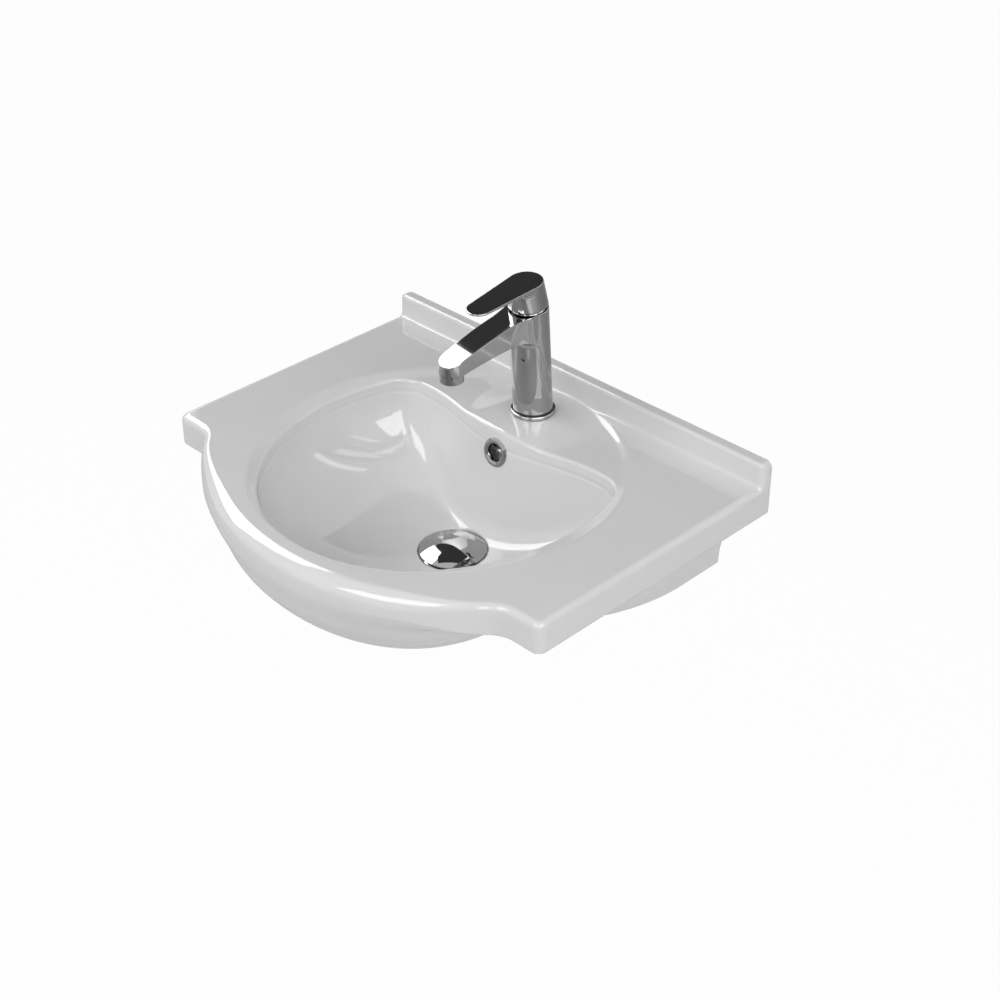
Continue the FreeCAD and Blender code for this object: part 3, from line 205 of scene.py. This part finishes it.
def wave_wall(x, y, z, shift):
    """In front of the wavy wall below the tap."""
    wave = WAVE_SWING * np.cos(x * math.pi / WAVE_HALF)
    wall = shift - WAVE_BACK - wave + (z - PLATFORM) * WALL_SLOPE
    return (y - wall) / math.hypot(1.0, WALL_SLOPE)


def bowl(x, y, z, grow):
    """The oval bowl below its rim, carried straight up above it, in front of the wavy wall."""
    sizes = (RIM[0] + grow, RIM[1] + grow, BOWL_DEPTH + grow)
    parts = (x, y - BOWL_Y, np.minimum(z + RIM_DROP, 0))
    level = np.sqrt(sum((v / s) ** 2 for v, s in zip(parts, sizes)))
    slope = np.sqrt(sum((v / s**2) ** 2 for v, s in zip(parts, sizes)))
    ball = level * (level - 1) / np.maximum(slope, 1e-6)
    return meet(ball, wave_wall(x, y, z, grow), WALL_ROUND)


def under_body(x, y, z, inset):
    """The skirt against the wall and the belly that bulges out in front of it."""
    share = (-z - SLAB_THICK) / (-SKIRT_BOTTOM - SLAB_THICK)
    half = SKIRT_HALF - SKIRT_TAPER * share - inset
    side = between(SKIRT_SIDE, share)
    front = between(SKIRT_FRONT, share) - inset
    skirt = np.where(y > -side, np.abs(x) - half, oval(x, y + side, half, front - side))
    fall = np.clip((BELLY_TOP - z) / BELLY_DEPTH, 0, 0.98)
    full = (1 - fall**BELLY_POWER) ** (1 / BELLY_POWER)
    belly = oval(x, y - BELLY_Y, BELLY_HALF * full - inset, BELLY_REACH * full - inset)
    return join(skirt, belly, 8.0)


def overflow_axis(x, y, z):
    """Distance along and from the axis of the overflow, which is square to the wall."""
    base_y = -WAVE_BACK - WAVE_SWING + (OVERFLOW_Z - PLATFORM) * WALL_SLOPE
    along = -(y - base_y) * math.cos(WALL_TILT) + (z - OVERFLOW_Z) * math.sin(WALL_TILT)
    across = (y - base_y) * math.sin(WALL_TILT) + (z - OVERFLOW_Z) * math.cos(WALL_TILT)
    return along, np.hypot(x, across)


def duct(x, y, z, half, start_y, low, high):
    """An upright or level piece of the overflow's duct, with its half width and half depth."""
    return block(x, y, z, (-half[0], start_y, low), (half[0], DUCT_Y + half[1], high))


def basin(x, y, z):
    top = z - deck_height(x, y)
    top = join(top, upstand(y, z), UPSTAND_COVE)
    under = meet(under_body(x, y, z, 0.0), SKIRT_BOTTOM - z, 3.0)
    under = join(-SLAB_THICK - z, under, 16.0)
    ahead = smooth(*ROUND_GROWS, y)
    outline = meet(slab_plan(x, y), under, between(LIP_ROUND, ahead))
    body = meet(outline, top, between(TOP_ROUND, ahead))
    body = meet(body, y, 1.0)

    shell = np.maximum(bowl(x, y, z, CERAMIC), z - DECK)
    waste = np.hypot(x, y - WASTE_Y)
    boss = np.maximum(waste - BOSS, np.maximum(BOSS_BOTTOM - z, z - FLOOR))
    channel = duct(x, y, z, DUCT_OUTSIDE, DUCT_Y - DUCT_OUTSIDE[1], BOSS_BOTTOM, DECK)
    sill = duct(x, y, z, DUCT_OUTSIDE, WASTE_Y, BOSS_BOTTOM, FLOOR)
    inner = join(shell, np.minimum(np.minimum(boss, channel), sill), 4.0)
    hollow = under_body(x, y, z, CERAMIC)
    hollow = np.maximum(np.maximum(hollow, z - DECK), np.maximum(y + CERAMIC, -330.0 - y))
    hollow = cut(hollow, inner, 3.0)
    body = cut(body, hollow, 2.0)
    body = np.minimum(body, inner)

    body = cut(body, bowl(x, y, z, 0.0), 3.0)
    recess = np.maximum(waste - WASTE_RECESS, SEAT - z)
    body = cut(body, np.maximum(recess, z + 60.0), 1.2)
    along, off_axis = overflow_axis(x, y, z)
    mouth = np.maximum(off_axis - OVERFLOW_HOLE, np.maximum(along - 20.0, -along - 14.0))
    well = duct(x, y, z, DUCT_INSIDE, DUCT_Y - DUCT_INSIDE[1], DRAIN_LOW, OVERFLOW_Z + 6.0)
    drain = duct(x, y, z, DUCT_INSIDE, WASTE_Y, DRAIN_LOW, DRAIN_HIGH)
    holes = np.minimum(np.minimum(mouth, well), drain)
    holes = np.minimum(holes, waste - WASTE_HOLE + 100.0 * (z > FLOOR + 20.0))
    tap_hole = np.maximum(np.hypot(x, y - TAP_Y) - TAP_HOLE, np.abs(z) - 40.0)
    fixing = np.hypot(np.abs(x) - FIXING_X, z - FIXING_Z) - FIXING_HOLE
    fixing = np.maximum(fixing, -y - 2 * CERAMIC)
    holes = np.minimum(holes, np.minimum(tap_hole, fixing))
    return np.maximum(body, -holes)


# Surfaces drawn from the fields


def graded(low, high, cell, fine):
    """Grid lines from low to high, a cell apart, and closer in each fine (start, end, cell) stretch."""
    lines = [low]
    while lines[-1] < high:
        at = lines[-1]
        steps = [c for a, b, c in fine if a <= at < b]
        lines.append(at + min(steps + [cell]))
    return np.array(lines)


def slope_of(field, points, reach):
    """The field's gradient at some points."""
    found = np.empty_like(points)
    for axis in range(3):
        ahead = points.copy()
        ahead[:, axis] += reach
        behind = points.copy()
        behind[:, axis] -= reach
        found[:, axis] = (field(*ahead.T) - field(*behind.T)) / (2 * reach)
    return found


def net_of(field, lines):
    """One point in each grid cell that the surface crosses, and the quads that join them."""
    sheets = []
    for x in lines[0]:
        y, z = np.meshgrid(lines[1], lines[2], indexing="ij")
        sheets.append(field(np.full_like(y, x), y, z))
    value = np.stack(sheets)
    cells = tuple(len(row) - 1 for row in lines)
    total = np.zeros((math.prod(cells), 3))
    count = np.zeros(math.prod(cells))
    faces = []
    for axis in range(3):
        near = np.take(value, range(cells[axis]), axis)
        far = np.take(value, range(1, cells[axis] + 1), axis)
        where = np.argwhere((near < 0) != (far < 0))
        first = near[tuple(where.T)]
        last = far[tuple(where.T)]
        place = np.stack([lines[k][where[:, k]] for k in range(3)], 1)
        gap = lines[axis][where[:, axis] + 1] - place[:, axis]
        place[:, axis] += gap * first / (first - last)
        u = (axis + 1) % 3
        v = (axis + 2) % 3
        corners = []
        for du, dv in ((0, 0), (1, 0), (1, 1), (0, 1)):
            cell = where.copy()
            cell[:, u] -= du
            cell[:, v] -= dv
            corners.append(np.ravel_multi_index(cell.T, cells))
        for corner in corners:
            np.add.at(total, corner, place)
            np.add.at(count, corner, 1)
        quads = np.stack(corners, 1)
        quads[first > 0] = quads[first > 0][:, ::-1]
        faces.append(quads)
    used = np.flatnonzero(count)
    number = np.zeros(len(count), int)
    number[used] = np.arange(len(used))
    return total[used] / count[used, None], number[np.concatenate(faces)]


def formed(name, field, lines, move=None):
    """A closed mesh on the field's surface, with normals from the field."""
    points, quads = net_of(field, lines)
    cell = min(np.diff(row).min() for row in lines)
    for _ in range(5):
        slope = slope_of(field, points, cell / 20)
        steep = np.maximum((slope**2).sum(1), 0.05)
        step = slope * (field(*points.T) / steep)[:, None]
        points -= np.clip(step, -cell, cell)
    normals = slope_of(field, points, cell / 4)
    normals /= np.maximum(np.linalg.norm(normals, axis=1), 1e-9)[:, None]
    if move:
        points, normals = move(points, normals)
    mesh = bpy.data.meshes.new(name)
    mesh.from_pydata(points * MM, [], quads.tolist())
    mesh.shade_smooth()
    mesh.normals_split_custom_set_from_vertices(normals.tolist())
    piece = bpy.data.objects.new(name, mesh)
    bpy.context.scene.collection.objects.link(piece)
    return piece


basin_lines = (
    graded(-256.0, 256.0, 3.4, [(-256.0, -240.0, 1.7), (-40.0, 40.0, 1.7), (238.0, 256.0, 1.7)]),
    graded(-410.0, 4.0, 3.4, [(-215.0, -135.0, 1.7), (-120.0, -92.0, 1.7), (-30.0, 4.0, 1.4)]),
    graded(-146.0, 30.0, 3.2, [(-119.0, -107.0, 1.2), (-36.0, 30.0, 1.5)]),
)
basin_piece = formed("basin_glaze", basin, basin_lines)
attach(basin_piece, "basin")
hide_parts("basin_body")

# Tap

TAP_DATUM = np.array([0.0, TAP_Y, PLATFORM + 3.4])
LEAN = math.radians(4.0)
TAP_RADIUS = 20.0
TAP_TOP = 115.5
FOOT = 1.8


def leaned(y, z):
    """Place across and along the leaning axis."""
    across = y * math.cos(LEAN) + z * math.sin(LEAN)
    along = z * math.cos(LEAN) - y * math.sin(LEAN)
    return across, along


TOP_Y = -TAP_TOP * math.sin(LEAN)
TOP_Z = TAP_TOP * math.cos(LEAN)
SPOUT_PLACES = (TOP_Y, -76.8, -122.8)
SPOUT_ROOT = (18.9, 14.2)
SPOUT_NECK = -47.0
SPOUT_TIP = 13.0
SPOUT_TIP_Y = -109.8
NOZZLE_Y = -110.8
CARTRIDGE_BORE = 17.5
CARTRIDGE_FLOOR = 76.0
PLUG_TURN = math.radians(22.5)
PLUG_HEIGHT = 66.7
PLUG_HOLE = 1.6
FEED_X = 9.5
FEED_HOLE = 4.5
STUD_HOLE = 4.1
FEED_TOP = 19.0


def spout_arc(drops):
    """The arc through three places along the spout, each some way below the column's top."""
    return circle_through(*[(y, TOP_Z - drop) for y, drop in zip(SPOUT_PLACES, drops)])


UPPER_ARC = spout_arc((0.0, 8.6, 20.9))
LOWER_ARC = spout_arc((27.0, 28.6, 34.4))


def spout_plan(x, y):
    """The spout from above: a flare from the column, straight sides and a round tip."""
    flare = between(SPOUT_ROOT, smooth(TOP_Y, SPOUT_NECK, y))
    narrow = np.clip((SPOUT_NECK - y) / (SPOUT_NECK - SPOUT_TIP_Y), 0, 1)
    taper = (SPOUT_ROOT[1] - SPOUT_TIP) * narrow
    tip = np.hypot(x, y - SPOUT_TIP_Y) - SPOUT_TIP
    sides = np.where(y > TOP_Y, 50.0, np.abs(x) - flare + taper)
    return np.where(y < SPOUT_TIP_Y, tip, sides)


def tap(x, y, z):
    across, along = leaned(y, z)
    column = np.hypot(x, across) - TAP_RADIUS
    arc = np.hypot(y - UPPER_ARC[0][0], z - UPPER_ARC[0][1]) - UPPER_ARC[1]
    top = np.where(y > TOP_Y, along - TAP_TOP, arc)
    low = LOWER_ARC[1] - np.hypot(y - LOWER_ARC[0][0], z - LOWER_ARC[0][1])
    plan = join(column, spout_plan(x, y), 0.5 + 5.0 * smooth(-12.0, -24.0, y))
    under = join(column, low, 11.0)
    body = meet(plan, under, 0.02 + 1.6 * smooth(-34.0, -48.0, y))
    body = meet(body, top, 0.7)
    body = meet(body, FOOT - z, 0.4)
    bore = np.maximum(np.hypot(x, across) - CARTRIDGE_BORE, CARTRIDGE_FLOOR - along)
    nozzle = np.hypot(x, y - NOZZLE_Y)
    socket = np.minimum(np.maximum(nozzle - 11.85, z - 84.0), np.maximum(nozzle - 11.0, z - 91.6))
    out = -across * math.cos(PLUG_TURN) + x * math.sin(PLUG_TURN)
    aside = across * math.sin(PLUG_TURN) + x * math.cos(PLUG_TURN)
    plug = np.maximum(np.hypot(aside, along - PLUG_HEIGHT) - PLUG_HOLE, 16.0 - out)
    feeds = np.hypot(np.abs(x) - FEED_X, y + 3.0) - FEED_HOLE
    stud = np.hypot(x, y - 9.5) - STUD_HOLE
    feeds = np.maximum(np.minimum(feeds, stud), z - FEED_TOP)
    tools = np.minimum(np.minimum(bore, socket), np.minimum(plug, feeds))
    return np.maximum(body, -tools)


def at_tap(points, normals):
    return points + TAP_DATUM, normals


tap_lines = (
    graded(-22.0, 22.0, 0.85, []),
    graded(-126.0, 24.0, 0.85, []),
    graded(-0.4, 120.0, 0.85, []),
)
tap_piece = formed("tap_chrome", tap, tap_lines, at_tap)
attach(tap_piece, "basin")
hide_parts("tap_body")

# Lever handle, in the frame of the leaning axis

HANDLE_LOW = 118.2
HANDLE_TOP = 144.9
TILT = math.tan(math.radians(1.8))
LEVER_REACH = 76.8
LEVER_TIP = 12.6
HANDLE_RADIUS = 19.75
HANDLE_TOP_RADIUS = 17.6
HANDLE_FORWARD = 2.4
LEVER_THICK = (3.4, 2.0)
HOLLOW = 15.0
HOLLOW_TOP = 134.0
RELIEF = math.tan(math.radians(25.0))
STEM_BOSS = 8.0
STEM_HALF = 4.1
SCREW_HEIGHT = 130.0
SCREW_HOLE = 2.6


def lever_plan(x, y):
    """A teardrop from above: a large round over the column and a small one at the tip."""
    span = LEVER_REACH - LEVER_TIP - HANDLE_FORWARD
    ratio = (HANDLE_TOP_RADIUS - LEVER_TIP) / span
    flat = math.sqrt(1 - ratio**2)
    side = np.abs(x)
    forward = -y - HANDLE_FORWARD
    along = forward * flat - side * ratio
    big = np.hypot(side, forward) - HANDLE_TOP_RADIUS
    tip = np.hypot(side, forward - span) - LEVER_TIP
    edge = side * flat + forward * ratio - HANDLE_TOP_RADIUS
    return np.where(along < 0, big, np.where(along > flat * span, tip, edge))


def lever(x, y, z):
    crest = HANDLE_TOP + y * TILT
    share = (z - HANDLE_LOW) / (HANDLE_TOP - HANDLE_LOW)
    radius = between((HANDLE_RADIUS, HANDLE_TOP_RADIUS), share)
    skirt = np.hypot(x, y + HANDLE_FORWARD * share) - radius
    outward = np.clip((-y - HANDLE_RADIUS) / (LEVER_REACH - HANDLE_RADIUS), 0, 1)
    low = crest - between(LEVER_THICK, outward) - z
    plan = np.minimum(skirt, lever_plan(x, y))
    under = join(skirt, low, 6.0)
    body = meet(plan, under, 0.02 + 0.7 * smooth(-24.0, -32.0, y))
    body = meet(body, z - crest, 0.6)
    body = meet(body, HANDLE_LOW - z, 0.5)
    axis = np.hypot(x, y)
    hollow = np.maximum(axis - HOLLOW, z - HOLLOW_TOP)
    relief = (z - HANDLE_LOW) - y * RELIEF
    relief = np.maximum(np.maximum(relief, -y), skirt + 0.7)
    hollow = np.minimum(hollow, relief)
    boss = np.maximum(axis - STEM_BOSS, 124.0 - z)
    socket = block(x, y, z, (-STEM_HALF, -STEM_HALF, 120.0), (STEM_HALF, STEM_HALF, 132.1))
    hollow = np.minimum(np.maximum(hollow, -boss), socket)
    screw = np.maximum(np.hypot(x, z - SCREW_HEIGHT) - SCREW_HOLE, -y)
    return np.maximum(body, -np.minimum(hollow, screw))


def at_lean(points, normals):
    turn = np.array(
        [
            [1.0, 0.0, 0.0],
            [0.0, math.cos(LEAN), -math.sin(LEAN)],
            [0.0, math.sin(LEAN), math.cos(LEAN)],
        ]
    )
    return points @ turn.T + TAP_DATUM, normals @ turn.T


lever_lines = (
    graded(-22.0, 22.0, 0.7, []),
    graded(-79.0, 22.0, 0.7, []),
    graded(116.0, 148.0, 0.7, [(139.0, 148.0, 0.5)]),
)
lever_piece = formed("lever_chrome", lever, lever_lines, at_lean)
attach(lever_piece, "lever")
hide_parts("lever_handle")

# Materials


class Surface:
    """A node material with a principled shader."""

    def __init__(self, name, **inputs):
        self.material = bpy.data.materials.new(name)
        self.material.use_nodes = True
        self.tree = self.material.node_tree
        self.shader = self.tree.nodes["Principled BSDF"]
        for key, value in inputs.items():
            self.shader.inputs[key.replace("_", " ")].default_value = value

    def add(self, kind, **settings):
        node = self.tree.nodes.new("ShaderNode" + kind)
        for key, value in settings.items():
            if key in node.inputs:
                node.inputs[key].default_value = value
            else:
                setattr(node, key, value)
        return node

    def link(self, start, end):
        self.tree.links.new(start, end)

    def noise(self, scale, detail=3.0):
        """Even noise through the piece, in cycles per metre."""
        place = self.add("TexCoord")
        node = self.add("TexNoise", Scale=scale, Detail=detail)
        self.link(place.outputs["Object"], node.inputs["Vector"])
        return node.outputs["Fac"]

    def spread(self, source, low, high):
        """A range of values, or of colours, driven by a noise."""
        if isinstance(low, tuple):
            node = self.add("ValToRGB")
            node.color_ramp.elements[0].position = 0.3
            node.color_ramp.elements[1].position = 0.7
            node.color_ramp.elements[0].color = low
            node.color_ramp.elements[1].color = high
            self.link(source, node.inputs["Fac"])
            return node.outputs["Color"]
        node = self.add("MapRange", **{"From Min": 0.3, "From Max": 0.7, "To Min": low, "To Max": high})
        self.link(source, node.inputs["Value"])
        return node.outputs["Result"]

    def colour(self, low, high, scale):
        self.link(self.spread(self.noise(scale), low, high), self.shader.inputs["Base Color"])

    def rough(self, low, high, scale):
        self.link(self.spread(self.noise(scale), low, high), self.shader.inputs["Roughness"])

    def bump(self, scale, height, detail=2.0):
        node = self.add("Bump", Strength=1.0, Distance=height)
        self.link(self.noise(scale, detail), node.inputs["Height"])
        self.link(node.outputs["Normal"], self.shader.inputs["Normal"])


def grey(value):
    return (value, value, value, 1.0)


glaze = Surface("glaze", IOR=1.52)
glaze.colour(grey(0.66), grey(0.69), 9.0)
glaze.rough(0.02, 0.035, 25.0)
glaze.bump(22.0, 0.00004)

chrome = Surface("chrome", Metallic=1.0)
chrome.colour(grey(0.36), grey(0.40), 14.0)
chrome.rough(0.03, 0.06, 40.0)

brass = Surface("brass", Metallic=1.0)
brass.colour((0.60, 0.42, 0.18, 1.0), (0.68, 0.50, 0.24, 1.0), 60.0)
brass.rough(0.22, 0.38, 90.0)
brass.bump(700.0, 0.00003)

steel = Surface("steel", Metallic=1.0)
steel.colour(grey(0.45), grey(0.55), 50.0)
steel.rough(0.28, 0.42, 120.0)
steel.bump(900.0, 0.00003)

rubber = Surface("rubber")
rubber.colour(grey(0.018), grey(0.03), 80.0)
rubber.rough(0.55, 0.75, 200.0)
rubber.bump(1500.0, 0.00004)

white_plastic = Surface("white_plastic")
white_plastic.colour(grey(0.62), grey(0.68), 40.0)
white_plastic.rough(0.35, 0.5, 120.0)
white_plastic.bump(1200.0, 0.00002)

grey_plastic = Surface("grey_plastic")
grey_plastic.colour(grey(0.10), grey(0.14), 60.0)
grey_plastic.rough(0.35, 0.5, 120.0)
grey_plastic.bump(1200.0, 0.00002)

disc_ceramic = Surface("disc_ceramic")
disc_ceramic.colour((0.75, 0.74, 0.70, 1.0), (0.80, 0.79, 0.75, 1.0), 70.0)
disc_ceramic.rough(0.15, 0.25, 90.0)
disc_ceramic.bump(1800.0, 0.00001)

SURFACES = {
    "glaze": glaze,
    "chrome": chrome,
    "brass": brass,
    "steel": steel,
    "rubber": rubber,
    "white_plastic": white_plastic,
    "grey_plastic": grey_plastic,
    "disc_ceramic": disc_ceramic,
}


def dress(piece, surface):
    piece.data.materials.clear()
    piece.data.materials.append(surface.material)


for piece in (tap_piece, lever_piece):
    dress(piece, chrome)
dress(basin_piece, glaze)
for part in frame["record"]["subparts"]:
    dress(frame["nodes"][part["node"]], SURFACES[part["material_slot"]])

# Camera at the photograph's angle

camera_data = bpy.data.cameras.new("camera")
camera = bpy.data.objects.new("camera", camera_data)
bpy.context.scene.collection.objects.link(camera)
bpy.context.scene.camera = camera
FOCAL_PX = 1910.2
FRAME_PX = 1000.0
camera_data.sensor_width = 36.0
camera_data.lens = camera_data.sensor_width * FOCAL_PX / FRAME_PX
azimuth = math.radians(44.84)
elevation = math.radians(33.24)
back = Vector(
    (
        math.sin(azimuth) * math.cos(elevation),
        -math.cos(azimuth) * math.cos(elevation),
        math.sin(elevation),
    )
)
camera.location = Vector((1133.9, -1250.0, 971.9)) * MM
camera.rotation_mode = "QUATERNION"
camera.rotation_quaternion = (-back).to_track_quat("-Z", "Y")

# Room: white to the eye and in reflections, with plain soft light on the object

scene = bpy.context.scene
scene.view_settings.view_transform = "Standard"
FLOOR_LEVEL = -0.85
FLOOR_SIDE = 40.0
FLOOR_WHITE = 0.97
ROOM_LIGHT = 0.32
LAMP_DISTANCE = 2.4
MIDDLE = Vector((0.0, -0.2, 0.0))


def node_in(tree, kind, **inputs):
    node = tree.nodes.new("ShaderNode" + kind)
    for key, value in inputs.items():
        node.inputs[key].default_value = value
    return node


def seen_by(tree, *rays):
    """1 for the named kinds of ray and 0 for the others."""
    path = tree.nodes.new("ShaderNodeLightPath")
    found = path.outputs[rays[0]]
    for ray in rays[1:]:
        either = tree.nodes.new("ShaderNodeMath")
        either.operation = "MAXIMUM"
        tree.links.new(found, either.inputs[0])
        tree.links.new(path.outputs[ray], either.inputs[1])
        found = either.outputs[0]
    return found


def mixed(tree, share, first, second):
    mix = tree.nodes.new("ShaderNodeMixShader")
    tree.links.new(share, mix.inputs["Fac"])
    tree.links.new(first.outputs[0], mix.inputs[1])
    tree.links.new(second.outputs[0], mix.inputs[2])
    return mix


WHITE = (1.0, 1.0, 1.0, 1.0)
world = bpy.data.worlds.new("room")
scene.world = world
world.use_nodes = True
tree = world.node_tree
tree.nodes.clear()
light = node_in(tree, "Background", Color=WHITE, Strength=ROOM_LIGHT)
white = node_in(tree, "Background", Color=WHITE, Strength=1.0)
rays = seen_by(tree, "Is Camera Ray", "Is Glossy Ray", "Is Transmission Ray")
out = tree.nodes.new("ShaderNodeOutputWorld")
tree.links.new(mixed(tree, rays, light, white).outputs[0], out.inputs["Surface"])


def panel(name, place, aim, width, height):
    """A flat stage panel that faces a point."""
    signs = ((-1, -1), (1, -1), (1, 1), (-1, 1))
    corners = [(width / 2 * across, height / 2 * up, 0.0) for across, up in signs]
    mesh = bpy.data.meshes.new(name)
    mesh.from_pydata(corners, [], [(0, 1, 2, 3)])
    thing = bpy.data.objects.new(name, mesh)
    bpy.context.scene.collection.objects.link(thing)
    thing.location = place
    thing.rotation_mode = "QUATERNION"
    thing.rotation_quaternion = (Vector(aim) - Vector(place)).to_track_quat("Z", "Y")
    return thing


def stage_material(name):
    material = bpy.data.materials.new(name)
    material.use_nodes = True
    material.node_tree.nodes.clear()
    return material


def finish_stage(thing, material, shader):
    out = material.node_tree.nodes.new("ShaderNodeOutputMaterial")
    material.node_tree.links.new(shader.outputs[0], out.inputs["Surface"])
    thing.data.materials.append(material)


# a pale floor that keeps the shadow, whitened for the eye
floor = panel("floor", (0.0, 0.0, FLOOR_LEVEL), (0.0, 0.0, 1.0), FLOOR_SIDE, FLOOR_SIDE)
pale = stage_material("pale_floor")
tree = pale.node_tree
matt = node_in(tree, "BsdfDiffuse", Color=(0.8, 0.8, 0.8, 1.0))
bright = node_in(tree, "Emission", Color=WHITE, Strength=1.0)
share = tree.nodes.new("ShaderNodeMath")
share.operation = "MULTIPLY"
share.inputs[1].default_value = FLOOR_WHITE
tree.links.new(seen_by(tree, "Is Camera Ray"), share.inputs[0])
finish_stage(floor, pale, mixed(tree, share.outputs[0], matt, bright))


def around(azimuth, elevation, distance):
    """A place round the basin: azimuth 0 is in front of it and 90 on its right."""
    a = math.radians(azimuth)
    e = math.radians(elevation)
    away = Vector((math.sin(a) * math.cos(e), -math.cos(a) * math.cos(e), math.sin(e)))
    return MIDDLE + away * distance


# a dark card behind on the left, which polished metal shows
card = panel("dark_card", around(-142.0, 46.0, 2.6), MIDDLE, 1.9, 2.3)
shade = stage_material("dark_card")
glow = node_in(shade.node_tree, "Emission", Color=grey(0.07), Strength=1.0)
finish_stage(card, shade, glow)
card.visible_camera = False
card.visible_diffuse = False
card.visible_shadow = False


def softbox(name, place, aim, width, height, radiance):
    """An area lamp whose face has the given brightness."""
    data = bpy.data.lights.new(name, "AREA")
    data.shape = "RECTANGLE"
    data.size = width
    data.size_y = height
    data.energy = radiance * math.pi * width * height
    lamp = bpy.data.objects.new(name, data)
    bpy.context.scene.collection.objects.link(lamp)
    lamp.location = place
    lamp.rotation_mode = "QUATERNION"
    lamp.rotation_quaternion = (Vector(aim) - Vector(place)).to_track_quat("-Z", "Y")
    lamp.visible_camera = False
    return lamp


def soft_light(name, azimuth, elevation, width, height, radiance):
    """A lamp that lights the object and isn't mirrored in it."""
    place = around(azimuth, elevation, LAMP_DISTANCE)
    softbox(name, place, MIDDLE, width, height, radiance).visible_glossy = False


def window(name, place, inward, width, height, radiance):
    """An upright lit card that only polished faces show."""
    lamp = softbox(name, place, Vector(place) + Vector(inward), width, height, radiance)
    lamp.visible_diffuse = False


soft_light("top_light", 0.0, 88.0, 1.6, 1.6, 0.98)
soft_light("front_light", 5.0, 30.0, 1.6, 1.3, 2.2)
soft_light("front_left_light", -45.0, 35.0, 1.5, 1.2, 3.24)
soft_light("right_light", 75.0, 32.0, 2.2, 1.3, 1.73)
soft_light("right_low_light", 85.0, 5.0, 2.0, 0.8, 2.48)
window("left_window", (-1.6, -0.17, 1.6), (1.0, 0.0, 0.0), 1.56, 1.72, 6.0)
window("right_window", (1.75, -0.94, 1.525), (-1.0, 0.0, 0.0), 2.46, 1.55, 5.5)
window("front_window", (0.15, -2.1, 1.63), (0.0, 1.0, 0.0), 1.12, 1.38, 5.5)
window("back_strip", (1.15, 1.5, 1.3), (-0.6, -0.8, 0.0), 0.14, 2.6, 3.0)
window("thin_strip", (1.75, 1.3, 1.3), (-0.8, -0.6, 0.0), 0.035, 2.6, 3.0)
